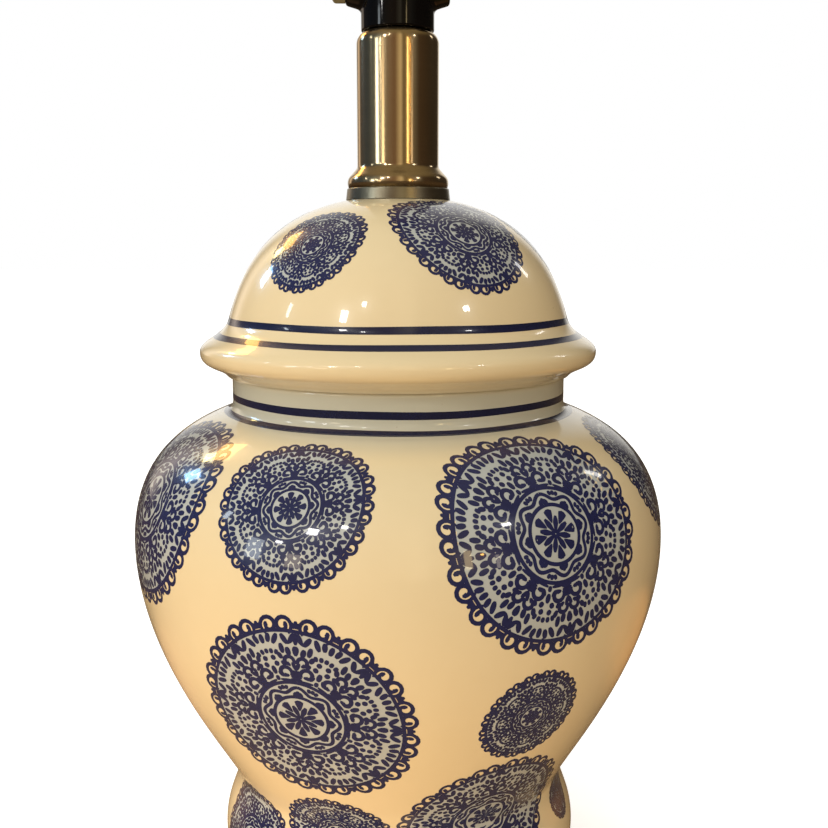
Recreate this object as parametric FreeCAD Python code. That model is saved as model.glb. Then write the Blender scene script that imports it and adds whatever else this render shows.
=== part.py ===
"""Table lamp made from a lidded ceramic ginger jar.

The jar and its lid are turned forms, clamped together by one hollow threaded rod. A spun brass neck stands on
the lid and carries a black bayonet lampholder with a push-bar switch. All sizes are in millimetres, +Z is up,
the origin is on the floor under the middle of the lamp, and the cord leaves the foot towards +Y.
"""
import FreeCAD, Part
import math
import os
from collections import namedtuple

# --- Jar: heights are above the ring that it stands on -----------------------------------------------------
jar_wall = 6.5
jar_height = 209.6
foot_radius = 68.7
foot_heading = 80.0          # degrees from level, of the outline where it leaves the floor
bulge_radius = 73.1
bulge_height = 21.7
waist_radius = 67.6
waist_height = 46.5
belly_radius = 105.3
belly_height = 145.2
neck_radius = 66.05
neck_length = 10.1           # straight part, up to the mouth
neck_cove_height = 4.2
neck_cove_reach = 3.2
shoulder_slope = 19.9        # degrees down from level, just outside the cove
foot_recess = 28.0           # from the floor up to the underside of the jar's bottom
bottom_thickness = 7.0
foot_rounding = 1.6
mouth_rounding = 1.3

# --- Lid: heights are above the jar's mouth ----------------------------------------------------------------
lid_wall = 6.0
lid_height = 67.4
lid_seat_radius = 68.0
lid_underside_heading = 50.0
rim_radius = 78.25
rim_height = 9.1
crease_radius = 66.9
crease_height = 21.8
crease_heading = 105.0
crown_radius = 20.0          # flat on top, under the brass
crown_heading = 169.0
lid_flange_depth = 8.0
lid_flange_wall = 6.0
lid_flange_clearance = 1.2
lid_ledge_height = 4.0

# --- Threaded rod and what it clamps -----------------------------------------------------------------------
rod_radius = 5.0
rod_bore_radius = 3.6
rod_hole_clearance = 0.5
thread_clearance = 0.05
rod_tail = 3.0               # rod below the bottom nut
nut_across_flats = 17.0
nut_height = 6.0
lock_washer_radius = 8.5
lock_washer_thickness = 1.2
lock_washer_teeth = 12
lock_washer_notch = 1.2
base_washer_radius = 24.0
base_washer_thickness = 2.0
base_cushion_radius = 21.0
base_cushion_thickness = 1.5
felt_thickness = 2.0
felt_inset = 1.5

# --- Cord inlet in the back of the foot --------------------------------------------------------------------
inlet_height = 14.0
inlet_hole_radius = 5.5
grommet_bore_radius = 4.0
grommet_flange_radius = 8.0
grommet_flange_thickness = 1.8
grommet_clearance = 0.1

# --- Brass neck --------------------------------------------------------------------------------------------
plate_top_radius = 19.9
plate_foot_radius = 20.4
plate_height = 4.4
plate_wall = 1.0
lid_washer_radius = 13.0
neck_tube_radius = 15.875    # 1 1/4 inch tube
neck_tube_wall = 0.9
neck_tube_height = 58.7
neck_shoulder = 4.5
bead_radius = 19.75
bead_height = 1.9
bead_foot_radius = 19.3
ogee_radius = 17.4
ogee_height = 6.2
cove_height = 8.8
seating_ring_thickness = 2.2
seating_ring_clearance = 0.15

# --- Lampholder cap, with a cross barrel for the switch ----------------------------------------------------
cap_radius = 14.05
cap_height = 30.0
cap_floor = 8.6
cap_cavity_radius = 11.4
cap_mouth_radius = 12.2
cap_edge_rounding = 0.8
barrel_reach = 20.0
barrel_wall = 0.8            # at its open end
barrel_taper = 0.3           # growth of its radius for each millimetre inwards
barrel_root = 4.0            # where it starts inside the cap, as a distance from the axis
barrel_height = 16.7         # of the switch bar's axis above the cap's underside
barrel_blend = 2.4
barrel_edge_rounding = 1.5
grub_screw_radius = 1.5
grub_screw_length = 7.0
grub_screw_height = 4.4
grub_screw_tip = 0.3         # gap that its point leaves to the rod's core

# --- Push-bar switch ---------------------------------------------------------------------------------------
bar_radius = 6.0
bar_clearance = 0.06
bar_travel = 5.0
bar_recess = 1.0             # how far its other end lies back in the barrel at rest
bar_end_rounding = 1.6
bar_waist_length = 19.0
bar_waist_width = 4.0
bar_waist_height = 8.0
bridge_length = 8.0
bridge_width = 3.0
bridge_thickness = 0.6
bridge_tip = 1.2
blade_offset = 4.5
blade_width = 2.6
blade_clearance = 0.5

# --- Insulator and contacts --------------------------------------------------------------------------------
core_fit = 0.1
core_flange_thickness = 2.5
core_height = 17.0
plunger_spacing = 11.0
plunger_radius = 2.4
plunger_flange_radius = 2.95
plunger_flange_thickness = 1.5
plunger_travel = 3.0
plunger_proud = 1.5          # head left above the insulator when it is pressed right in
plunger_clearance = 0.08
plunger_lip = 3.0            # insulator above the plunger's flange
spring_wire = 0.5
spring_radius = 1.9
terminal_length = 7.2
terminal_inner_y = 2.6
terminal_outer_y = 9.0
terminal_height = 7.5
terminal_wire_radius = 1.3
terminal_wire_depth = 5.0
terminal_screw_radius = 1.7
terminal_screw_head = 1.5
terminal_screw_shank_radius = 1.1
terminal_screw_reach = 2.4
terminal_screw_drop = 5.4    # its axis below the top of the terminal
terminal_slot_width = 0.6

# --- Bayonet shell and shade ring --------------------------------------------------------------------------
shell_spigot_fit = 0.1
shell_spigot_length = 2.6
shell_collar_radius = 15.2
shell_collar_thickness = 2.4
shell_radius = 13.9
shell_height = 29.9          # from the cap to the rim
shell_bore_radius = 11.25    # takes a lamp cap of 22 mm
shell_throat_radius = 11.05
socket_depth = 13.0          # from the rim to the throat, which ends above the plungers
shell_rim_rounding = 0.6
slot_floor_radius = 12.9
slot_width = 2.6
slot_depth = 9.0
slot_turn = 24.0             # degrees
slot_hook = 1.4
ring_clearance = 0.3
ring_seat_gap = 0.1
ring_collar_wall = 2.2
ring_height = 6.5
ring_flange_radius = 19.2
ring_flange_thickness = 2.2
ring_grips = 12
ring_grip_radius = 1.4

# --- Levels and places worked out from the sizes ------------------------------------------------------------
jar_z = felt_thickness
mouth_z = jar_z + jar_height
lid_top_z = mouth_z + lid_height
jar_bottom_z = jar_z + foot_recess
plate_top_z = lid_top_z + plate_height
cap_z = plate_top_z + neck_tube_height
bar_z = cap_z + barrel_height
cap_top_z = cap_z + cap_height
shell_z = cap_top_z - shell_spigot_length
core_z = shell_z - core_flange_thickness
core_top_z = core_z + core_height
collar_top_z = cap_top_z + shell_collar_thickness
shell_top_z = cap_top_z + shell_height
plunger_y = plunger_spacing / 2
plunger_top_z = core_top_z + plunger_travel + plunger_proud
neck_bore_radius = neck_radius - jar_wall
base_washer_z = jar_bottom_z - base_cushion_thickness - base_washer_thickness
nut_z = base_washer_z - lock_washer_thickness - nut_height
rod_foot_z = nut_z - rod_tail
rod_top_z = cap_z + cap_floor

UP = FreeCAD.Vector(0, 0, 1)
SIDEWAYS = FreeCAD.Vector(1, 0, 0)
BACK = FreeCAD.Vector(0, 1, 0)
ORIGIN = FreeCAD.Vector(0, 0, 0)

# A point that an outline passes through: the heading is in degrees from straight out, and the fullness is how
# far the curve keeps that heading before and after the point, as a share of the distance to the next point.
Station = namedtuple("Station", "radius height heading before after")


def point(radius, height):
    return FreeCAD.Vector(radius, 0, height)


def inset(station, distance):
    """The same station, moved square to the outline to the left of its heading."""
    angle = math.radians(station.heading)
    radius = station.radius - distance * math.sin(angle)
    height = station.height + distance * math.cos(angle)
    return station._replace(radius=radius, height=height)


def curve(start, end):
    """A smooth edge between two stations."""
    first = point(start.radius, start.height)
    last = point(end.radius, end.height)
    span = first.distanceToPoint(last)
    leave = math.radians(start.heading)
    arrive = math.radians(end.heading)
    leaving = point(math.cos(leave), math.sin(leave)) * (span * start.after)
    arriving = point(math.cos(arrive), math.sin(arrive)) * (span * end.before)
    bezier = Part.BezierCurve()
    bezier.setPoles([first, first + leaving, last - arriving, last])
    return bezier.toShape()


def curves(stations):
    return [curve(start, end) for start, end in zip(stations, stations[1:])]


def lines(points):
    return [Part.LineSegment(start, end).toShape() for start, end in zip(points, points[1:])]


def turned(edges):
    """The solid that a closed outline in the XZ plane sweeps about Z."""
    return Part.Face(Part.Wire(edges)).revolve(ORIGIN, UP, 360)


def turned_polygon(points):
    return turned(lines([point(*pair) for pair in points + points[:1]]))


def disc(radius, thickness, z, x=0.0, y=0.0):
    return Part.makeCylinder(radius, thickness, FreeCAD.Vector(x, y, z), UP)


def washer(radius, hole_radius, thickness, z):
    return disc(radius, thickness, z).cut(disc(hole_radius, thickness, z))


def block(length, width, height, x, y, z):
    """A box whose middle is at x and y, and whose underside is at z."""
    return Part.makeBox(length, width, height, FreeCAD.Vector(x - length / 2, y - width / 2, z))


def circles_at(shape, z, radius):
    """The full-circle edges of a shape at one level with one radius."""
    found = []
    for edge in shape.Edges:
        if not isinstance(edge.Curve, Part.Circle):
            continue
        if abs(edge.Curve.Center.z - z) < 1e-4 and abs(edge.Curve.Radius - radius) < 1e-4:
            found.append(edge)
    return found


# --- Jar and lid --------------------------------------------------------------------------------------------
def jar_stations():
    """The jar's outside, from the floor up to the foot of its neck."""
    neck_foot = jar_height - neck_length
    stations = [
        Station(foot_radius, 0.0, foot_heading, 0.0, 0.27),
        Station(bulge_radius, bulge_height, 90.0, 0.36, 0.44),
        Station(waist_radius, waist_height, 90.0, 0.36, 0.08),
        Station(belly_radius, belly_height, 90.0, 0.443, 0.508),
        Station(neck_radius + neck_cove_reach, neck_foot - neck_cove_height, 180.0 - shoulder_slope, 0.317, 0.38),
        Station(neck_radius, neck_foot, 90.0, 0.42, 0.0),
    ]
    return [station._replace(height=station.height + jar_z) for station in stations]


def jar_form(distance, overshoot=0.0):
    """The jar as a full body, with its outside moved in by a distance."""
    stations = [inset(station, distance) for station in jar_stations()]
    top = mouth_z + overshoot
    foot = stations[0]
    base = jar_z - overshoot
    edges = lines([point(0, top), point(0, base), point(foot.radius, base)])
    if abs(foot.height - base) > 1e-6:
        edges += lines([point(foot.radius, base), point(foot.radius, foot.height)])
    edges += curves(stations)
    neck = stations[-1]
    edges += lines([point(neck.radius, neck.height), point(neck.radius, top), point(0, top)])
    return turned(edges)


def jar_body():
    shell = jar_form(0.0)
    shell = shell.makeFillet(foot_rounding, circles_at(shell, jar_z, foot_radius))
    bottom = disc(belly_radius, bottom_thickness, jar_bottom_z)
    shell = shell.cut(jar_form(jar_wall, overshoot=10.0).cut(bottom))
    mouth = circles_at(shell, mouth_z, neck_radius) + circles_at(shell, mouth_z, neck_bore_radius)
    shell = shell.makeFillet(mouth_rounding, mouth)
    shell = shell.cut(disc(rod_radius + rod_hole_clearance, bottom_thickness, jar_bottom_z))
    return shell.cut(inlet_plug(inlet_hole_radius))


def inlet_plug(radius):
    """A rod along the cord inlet, from inside the foot to well outside it."""
    reach = 4 * jar_wall
    start = FreeCAD.Vector(0, bulge_radius - reach, jar_z + inlet_height)
    return Part.makeCylinder(radius, 2 * reach, start, BACK)


def jar_skin(outer_distance, inner_distance):
    """A thin layer of the jar's form, between two distances in from its outside."""
    return jar_form(outer_distance, 5.0).cut(jar_form(inner_distance, 10.0))


def cord_grommet():
    """Rubber bush snapped into the inlet, with a flange that follows the jar on each side of the wall."""
    flange = inlet_plug(grommet_flange_radius)
    reach = grommet_flange_thickness + grommet_clearance
    outside = flange.common(jar_skin(-reach, -grommet_clearance))
    inside = flange.common(jar_skin(jar_wall + grommet_clearance, jar_wall + reach))
    neck = inlet_plug(inlet_hole_radius - grommet_clearance).common(jar_skin(-reach, jar_wall + reach))
    bush = neck.fuse([outside, inside]).cut(inlet_plug(grommet_bore_radius))
    return bush.removeSplitter()


def lid_stations():
    """The lid's outside, from its seat on the jar up to the flat crown."""
    stations = [
        Station(lid_seat_radius, 0.0, lid_underside_heading, 0.0, 0.43),
        Station(rim_radius, rim_height, 90.0, 0.43, 0.276),
        Station(crease_radius, crease_height, crease_heading, 0.425, 0.264),
        Station(crown_radius, lid_height, crown_heading, 0.51, 0.0),
    ]
    return [station._replace(height=station.height + mouth_z) for station in stations]


def jar_lid():
    outside = lid_stations()
    inside = [inset(station, lid_wall) for station in reversed(outside[2:])]
    dome = curves(list(reversed(inside)))
    flange_outer = neck_bore_radius - lid_flange_clearance
    flange_inner = flange_outer - lid_flange_wall
    hole = rod_radius + rod_hole_clearance
    flange_z = mouth_z - lid_flange_depth
    edges = curves(outside)
    edges += lines([point(crown_radius, lid_top_z), point(hole, lid_top_z), point(hole, inside[0].height),
                    point(inside[0].radius, inside[0].height)])
    edges += dome
    edges += lines([point(inside[-1].radius, inside[-1].height), point(flange_inner, mouth_z + lid_ledge_height),
                    point(flange_inner, flange_z), point(flange_outer, flange_z), point(flange_outer, mouth_z),
                    point(lid_seat_radius, mouth_z)])
    return turned(Part.__sortEdges__(edges))


# --- Under the jar ------------------------------------------------------------------------------------------
def felt_pad():
    return disc(foot_radius - felt_inset, felt_thickness, 0.0)


def base_cushion():
    hole = rod_radius + rod_hole_clearance
    return washer(base_cushion_radius, hole, base_cushion_thickness, jar_bottom_z - base_cushion_thickness)


def base_washer():
    return washer(base_washer_radius, rod_radius + rod_hole_clearance, base_washer_thickness, base_washer_z)


def base_lock_washer():
    """Washer with teeth round its rim."""
    z = base_washer_z - lock_washer_thickness
    ring = washer(lock_washer_radius, rod_radius + rod_hole_clearance / 2, lock_washer_thickness, z)
    notch = block(2 * lock_washer_notch, lock_washer_notch, lock_washer_thickness, lock_washer_radius, 0, z)
    for tooth in range(lock_washer_teeth):
        ring = ring.cut(notch.rotated(ORIGIN, UP, 360 * tooth / lock_washer_teeth))
    return ring


def base_nut():
    """Hexagon nut with its corners turned off."""
    corner = nut_across_flats / 2 / math.cos(math.pi / 6)
    angles = [math.radians(60 * side) for side in range(7)]
    corners = [FreeCAD.Vector(corner * math.cos(a), corner * math.sin(a), nut_z) for a in angles]
    hexagon = Part.Face(Part.Wire(lines(corners))).extrude(UP * nut_height)
    chamfer = corner - nut_across_flats / 2
    turned_blank = turned_polygon([
        (0, nut_z), (corner - chamfer, nut_z), (corner, nut_z + chamfer / 2),
        (corner, nut_z + nut_height - chamfer / 2), (corner - chamfer, nut_z + nut_height), (0, nut_z + nut_height),
    ])
    return hexagon.common(turned_blank).cut(disc(rod_radius + thread_clearance, nut_height, nut_z))


def centre_rod():
    return washer(rod_radius, rod_bore_radius, rod_top_z - rod_foot_z, rod_foot_z)


# --- Brass neck ---------------------------------------------------------------------------------------------
def lid_washer():
    """Rubber cushion between the lid and the brass plate."""
    return washer(lid_washer_radius, rod_radius + rod_hole_clearance, plate_height - plate_wall, lid_top_z)


def seat_plate():
    """Shallow dish that stands on the lid, open underneath."""
    hole = rod_radius + rod_hole_clearance
    under = plate_top_z - plate_wall
    dish = turned_polygon([
        (hole, under), (plate_top_radius - plate_wall, under), (plate_foot_radius - plate_wall, lid_top_z),
        (plate_foot_radius, lid_top_z), (plate_top_radius, plate_top_z), (hole, plate_top_z),
    ])
    return dish.makeFillet(plate_wall / 2, circles_at(dish, plate_top_z, plate_top_radius))


def neck_seating_ring():
    """Steel ring that centres the tube on the rod."""
    radius = neck_tube_radius - neck_tube_wall - seating_ring_clearance
    return washer(radius, rod_radius + rod_hole_clearance / 2, seating_ring_thickness, plate_top_z)


def arc(centre, radius, start_degrees, end_degrees):
    """An arc in the XZ plane about a point at some radius from the lamp's axis."""
    middle_degrees = (start_degrees + end_degrees) / 2
    ends = []
    for degrees in (start_degrees, middle_degrees, end_degrees):
        angle = math.radians(degrees)
        ends.append(centre + point(radius * math.cos(angle), radius * math.sin(angle)))
    return Part.Arc(*ends).toShape()


def neck_tube():
    """Spun tube with a bead at its foot, a round shoulder and a closed top with a hole for the rod."""
    stations = [
        Station(bead_foot_radius, plate_top_z, 75.0, 0.0, 0.35),
        Station(bead_radius, plate_top_z + bead_height, 90.0, 0.35, 0.5),
        Station(ogee_radius, plate_top_z + ogee_height, 128.0, 0.35, 0.35),
        Station(neck_tube_radius, plate_top_z + cove_height, 90.0, 0.4, 0.0),
    ]
    hole = rod_radius + rod_hole_clearance / 2
    bore = neck_tube_radius - neck_tube_wall
    turn_z = cap_z - neck_shoulder
    turn = point(neck_tube_radius - neck_shoulder, turn_z)
    edges = curves(stations)
    edges += lines([point(neck_tube_radius, plate_top_z + cove_height), point(neck_tube_radius, turn_z)])
    edges.append(arc(turn, neck_shoulder, 0, 90))
    edges += lines([point(turn.x, cap_z), point(hole, cap_z), point(hole, cap_z - neck_tube_wall),
                    point(turn.x, cap_z - neck_tube_wall)])
    edges.append(arc(turn, neck_shoulder - neck_tube_wall, 90, 0))
    edges += lines([point(bore, turn_z), point(bore, plate_top_z), point(bead_foot_radius, plate_top_z)])
    return turned(edges)


# --- Lampholder cap -----------------------------------------------------------------------------------------
def cross_cylinder(radius, left, right):
    """A cylinder on the switch bar's axis, between two places along X."""
    return Part.makeCylinder(radius, right - left, FreeCAD.Vector(left, 0, bar_z), SIDEWAYS)


def barrel_half(side):
    """One end of the barrel, which tapers outwards."""
    tip_radius = bar_radius + barrel_wall
    length = barrel_reach - barrel_root
    start = FreeCAD.Vector(side * barrel_root, 0, bar_z)
    return Part.makeCone(tip_radius + barrel_taper * length, tip_radius, length, start, SIDEWAYS * side)


def edges_in_box(shape, x_range, z_range):
    """The edges whose middles lie in a range of distances from the YZ plane and of levels."""
    found = []
    for edge in shape.Edges:
        middle = edge.BoundBox.Center
        wide = max(abs(edge.BoundBox.XMin), abs(edge.BoundBox.XMax))
        if x_range[0] <= wide <= x_range[1] and z_range[0] <= middle.z <= z_range[1]:
            found.append(edge)
    return found


def lampholder_cap():
    """Moulded cup with a cross barrel blended into it."""
    cup = disc(cap_radius, cap_height, cap_z)
    cup = cup.makeFillet(cap_edge_rounding, circles_at(cup, cap_z, cap_radius))
    body = cup.fuse([barrel_half(-1), barrel_half(1)])
    near = bar_z - bar_radius, bar_z + bar_radius
    joint = edges_in_box(body, (barrel_root, cap_radius + 0.01), near)
    body = body.makeFillet(barrel_blend, joint)
    ends = [edge for edge in edges_in_box(body, (barrel_reach - 0.01, barrel_reach + 0.01), near)
            if edge.BoundBox.XLength < 1e-4]
    body = body.makeFillet(barrel_edge_rounding, ends)
    body = body.cut(disc(cap_cavity_radius, cap_height, cap_z + cap_floor))
    body = body.cut(disc(cap_mouth_radius, cap_height, core_z))
    body = body.cut(cross_cylinder(bar_radius + bar_clearance, -2 * barrel_reach, 2 * barrel_reach))
    body = body.cut(disc(rod_radius + thread_clearance, cap_floor, cap_z))
    return body.cut(grub_screw_body(cap_radius, thread_clearance))


def grub_screw_body(length, growth):
    start = FreeCAD.Vector(0, rod_radius + grub_screw_tip - growth, cap_z + grub_screw_height)
    return Part.makeCylinder(grub_screw_radius + growth, length, start, BACK)


def cap_grub_screw():
    """Locks the lampholder to the rod, with a hexagon socket in its outer end."""
    outer = rod_radius + grub_screw_tip + grub_screw_length
    across = grub_screw_radius
    corners = []
    for side in range(7):
        angle = math.radians(60 * side)
        x = across / 2 * math.cos(angle)
        z = cap_z + grub_screw_height + across / 2 * math.sin(angle)
        corners.append(FreeCAD.Vector(x, outer, z))
    socket = Part.Face(Part.Wire(lines(corners))).extrude(BACK * -grub_screw_radius)
    return grub_screw_body(grub_screw_length, 0.0).cut(socket)


# --- Push-bar switch ----------------------------------------------------------------------------------------
def switch_bar():
    """Round at both ends, and slimmed in the middle so that the wires pass it."""
    bar = cross_cylinder(bar_radius, -barrel_reach - bar_travel, barrel_reach - bar_recess)
    bar = bar.makeFillet(bar_end_rounding, [edge for edge in bar.Edges if edge.BoundBox.XLength < 1e-4])
    around = block(bar_waist_length, 3 * bar_radius, 3 * bar_radius, -bar_travel / 2, 0, bar_z - 1.5 * bar_radius)
    kept = block(bar_waist_length, bar_waist_width, bar_waist_height, -bar_travel / 2, 0,
                 bar_z - bar_waist_height / 2)
    return bar.cut(around.cut(kept))


def switch_bridge():
    """Contact strip on the bar, with two raised tips."""
    z = bar_z + bar_waist_height / 2
    strip = block(bridge_length, bridge_width, bridge_thickness, -bar_travel / 2, 0, z)
    half = bridge_length / 2
    tips = []
    for side in (-1, 1):
        x = side * (half - bridge_tip / 2) - bar_travel / 2
        start = FreeCAD.Vector(x, -bridge_width / 2, z + bridge_thickness)
        tips.append(Part.makeCylinder(bridge_tip / 2, bridge_width, start, BACK))
    return strip.fuse(tips).removeSplitter()


def switch_blades():
    """Two fixed contact blades that hang from the insulator above the bridge."""
    foot = bar_z + bar_waist_height / 2 + bridge_thickness + bridge_tip / 2 + blade_clearance
    blades = [block(blade_width, bridge_width, core_z - foot, side * blade_offset, 0, foot) for side in (-1, 1)]
    return Part.makeCompound(blades)


# --- Insulator and contacts ---------------------------------------------------------------------------------
def lampholder_core():
    """Insulator with a flange that the shell clamps in the cap, and a stepped hole for each plunger."""
    flange = disc(cap_mouth_radius - core_fit, core_flange_thickness, core_z)
    core = flange.fuse(disc(shell_throat_radius - core_fit, core_height, core_z)).removeSplitter()
    well = plunger_flange_radius + plunger_clearance
    for side in (-1, 1):
        core = core.cut(disc(well, core_height - plunger_lip, core_z, y=side * plunger_y))
        core = core.cut(disc(plunger_radius + plunger_clearance, core_height, core_z, y=side * plunger_y))
    return core


def contact_plunger(side):
    """Sprung pin with a domed head and a flange that stops it in the insulator."""
    flange_top = core_top_z - plunger_lip - plunger_clearance
    foot = flange_top - plunger_flange_thickness
    stem = disc(plunger_radius, plunger_top_z - foot, foot)
    stem = stem.makeFillet(plunger_radius / 2, circles_at(stem, plunger_top_z, plunger_radius))
    pin = stem.fuse(disc(plunger_flange_radius, plunger_flange_thickness, foot)).removeSplitter()
    return pin.translated(BACK * (side * plunger_y))


def contact_spring(side):
    """The space that the plunger's coil spring fills, down to the terminal."""
    flange_foot = core_top_z - plunger_lip - plunger_clearance - plunger_flange_thickness
    coil = washer(spring_radius, spring_radius - spring_wire, flange_foot - core_z, core_z)
    return coil.translated(BACK * (side * plunger_y))


def terminal(side):
    """Brass block under the insulator, with a hole for the wire and one for its clamping screw."""
    width = terminal_outer_y - terminal_inner_y
    middle = (terminal_outer_y + terminal_inner_y) / 2
    body = block(terminal_length, width, terminal_height, 0, side * middle, core_z - terminal_height)
    body = body.cut(disc(terminal_wire_radius, terminal_wire_depth, core_z - terminal_height, y=side * middle))
    return body.cut(terminal_screw_shank(side, thread_clearance))


def terminal_screw_shank(side, growth):
    start = FreeCAD.Vector(0, side * terminal_outer_y, core_z - terminal_screw_drop)
    radius = terminal_screw_shank_radius + growth
    return Part.makeCylinder(radius, terminal_screw_reach + growth, start, BACK * -side)


def terminal_screws():
    screws = []
    for side in (-1, 1):
        start = FreeCAD.Vector(0, side * terminal_outer_y, core_z - terminal_screw_drop)
        head = Part.makeCylinder(terminal_screw_radius, terminal_screw_head, start, BACK * side)
        slot_y = side * (terminal_outer_y + terminal_screw_head)
        slot = block(terminal_slot_width, terminal_screw_head, 3 * terminal_screw_radius, 0, slot_y,
                     core_z - terminal_screw_drop - 1.5 * terminal_screw_radius)
        screws.append(head.fuse(terminal_screw_shank(side, 0.0)).removeSplitter().cut(slot))
    return Part.makeCompound(screws)


# --- Bayonet shell and shade ring ---------------------------------------------------------------------------
def bayonet_slot():
    """An entry down from the rim, a turn round the bore and a hook back up."""
    floor_z = shell_top_z - slot_depth
    entry = block(2 * slot_floor_radius, slot_width, slot_depth, 0, 0, floor_z)
    wedge_angle = slot_turn + 2 * math.degrees(math.asin(slot_width / 2 / slot_floor_radius))
    wedge = Part.makeCylinder(slot_floor_radius, slot_width, point(0, floor_z), UP, wedge_angle)
    wedge = wedge.rotated(ORIGIN, UP, slot_turn / 2 - wedge_angle / 2)
    hook = Part.makeBox(slot_floor_radius, slot_width, slot_width + slot_hook,
                        FreeCAD.Vector(0, -slot_width / 2, floor_z)).rotated(ORIGIN, UP, slot_turn)
    half = Part.makeBox(slot_floor_radius, slot_width, slot_depth, FreeCAD.Vector(0, -slot_width / 2, floor_z))
    slot = half.common(entry).fuse([wedge, hook])
    return slot.common(disc(slot_floor_radius, slot_depth + 1, floor_z))


def lampholder_shell():
    """Threaded skirt with a clamping spigot, a collar on the cap and two bayonet slots in its bore."""
    spigot = cap_mouth_radius - shell_spigot_fit
    throat_z = shell_top_z - socket_depth
    shell = turned_polygon([
        (shell_throat_radius, shell_z), (spigot, shell_z), (spigot, cap_top_z), (shell_collar_radius, cap_top_z),
        (shell_collar_radius, collar_top_z), (shell_radius, collar_top_z), (shell_radius, shell_top_z),
        (shell_bore_radius, shell_top_z), (shell_bore_radius, throat_z), (shell_throat_radius, throat_z),
    ])
    rounded = circles_at(shell, collar_top_z, shell_collar_radius) + circles_at(shell, cap_top_z, shell_collar_radius)
    rounded += circles_at(shell, shell_top_z, shell_radius)
    shell = shell.makeFillet(shell_rim_rounding, rounded)
    for turn in (0, 180):
        shell = shell.cut(bayonet_slot().rotated(ORIGIN, UP, turn))
    return shell


def shade_ring():
    """Screwed collar with a flange that holds a shade down, and scalloped for grip."""
    z = collar_top_z + ring_seat_gap
    bore = shell_radius + ring_clearance
    collar = bore + ring_collar_wall
    ring = turned_polygon([
        (bore, z), (ring_flange_radius, z), (ring_flange_radius, z + ring_flange_thickness),
        (collar, z + ring_flange_thickness), (collar, z + ring_height), (bore, z + ring_height),
    ])
    rounded = circles_at(ring, z + ring_height, collar)
    ring = ring.makeFillet(ring_collar_wall / 3, rounded)
    for grip in range(ring_grips):
        angle = 2 * math.pi * grip / ring_grips
        x = (ring_flange_radius + ring_grip_radius / 2) * math.cos(angle)
        y = (ring_flange_radius + ring_grip_radius / 2) * math.sin(angle)
        ring = ring.cut(disc(ring_grip_radius, ring_flange_thickness, z, x, y))
    return ring


PIECES = {
    "felt_pad": felt_pad,
    "jar_body": jar_body,
    "jar_lid": jar_lid,
    "cord_grommet": cord_grommet,
    "base_cushion": base_cushion,
    "base_washer": base_washer,
    "base_lock_washer": base_lock_washer,
    "base_nut": base_nut,
    "centre_rod": centre_rod,
    "lid_washer": lid_washer,
    "seat_plate": seat_plate,
    "neck_seating_ring": neck_seating_ring,
    "neck_tube": neck_tube,
    "lampholder_cap": lampholder_cap,
    "cap_grub_screw": cap_grub_screw,
    "switch_bar": switch_bar,
    "switch_bridge": switch_bridge,
    "switch_blades": switch_blades,
    "lampholder_core": lampholder_core,
    "contact_plunger_front": lambda: contact_plunger(-1),
    "contact_plunger_rear": lambda: contact_plunger(1),
    "contact_spring_front": lambda: contact_spring(-1),
    "contact_spring_rear": lambda: contact_spring(1),
    "terminal_front": lambda: terminal(-1),
    "terminal_rear": lambda: terminal(1),
    "terminal_screws": terminal_screws,
    "lampholder_shell": lampholder_shell,
    "shade_ring": shade_ring,
}

os.makedirs("parts", exist_ok=True)
for name, make in PIECES.items():
    shape = make()
    shape.exportStep(os.path.join("parts", name + ".step"))
    box = shape.BoundBox
    print(f"{name}: {len(shape.Solids)} solid(s), valid {shape.isValid()}, {shape.Volume:.0f} mm3, "
          f"x {box.XMin:.2f}..{box.XMax:.2f}, y {box.YMin:.2f}..{box.YMax:.2f}, z {box.ZMin:.2f}..{box.ZMax:.2f}")
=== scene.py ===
import math
from collections import namedtuple

import bmesh
import bpy
import numpy as np
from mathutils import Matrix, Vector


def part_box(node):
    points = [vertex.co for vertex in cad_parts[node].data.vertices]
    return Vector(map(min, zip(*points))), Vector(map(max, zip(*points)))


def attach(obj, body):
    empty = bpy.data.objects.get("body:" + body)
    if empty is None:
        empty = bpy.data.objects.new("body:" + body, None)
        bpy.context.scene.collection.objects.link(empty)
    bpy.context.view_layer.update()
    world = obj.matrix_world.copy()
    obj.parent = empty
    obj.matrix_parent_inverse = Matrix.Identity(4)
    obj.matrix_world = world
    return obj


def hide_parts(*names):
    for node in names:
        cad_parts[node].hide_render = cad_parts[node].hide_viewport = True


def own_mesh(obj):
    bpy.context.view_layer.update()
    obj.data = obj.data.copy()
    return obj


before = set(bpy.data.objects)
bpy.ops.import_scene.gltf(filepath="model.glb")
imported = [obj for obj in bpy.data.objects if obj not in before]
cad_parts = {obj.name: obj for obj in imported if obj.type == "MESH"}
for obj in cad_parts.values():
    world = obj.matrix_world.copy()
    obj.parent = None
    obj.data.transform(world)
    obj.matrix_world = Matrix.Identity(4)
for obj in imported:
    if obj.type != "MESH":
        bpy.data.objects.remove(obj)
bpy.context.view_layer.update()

# --------------------
# Felt pad: a disc of pressed wool, cut by a die and glued under the jar's foot so that the lamp doesn't
# scratch a table. Its face is matted fibres, paler where they stand up.


def new_material(name, **values):
    """A material with the given fixed settings. Returns the material, its nodes and its shader."""
    material = bpy.data.materials.new(name)
    material.use_nodes = True
    shader = material.node_tree.nodes["Principled BSDF"]
    for socket, value in values.items():
        shader.inputs[socket.replace("_", " ")].default_value = value
    return material, material.node_tree, shader


def connect(tree, node, sockets):
    """Sets sockets of a node, by name or number. Where the value is another node's socket, it's linked."""
    for socket, value in dict(sockets).items():
        if isinstance(value, bpy.types.NodeSocket):
            tree.links.new(value, node.inputs[socket])
        else:
            node.inputs[socket].default_value = value


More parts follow.
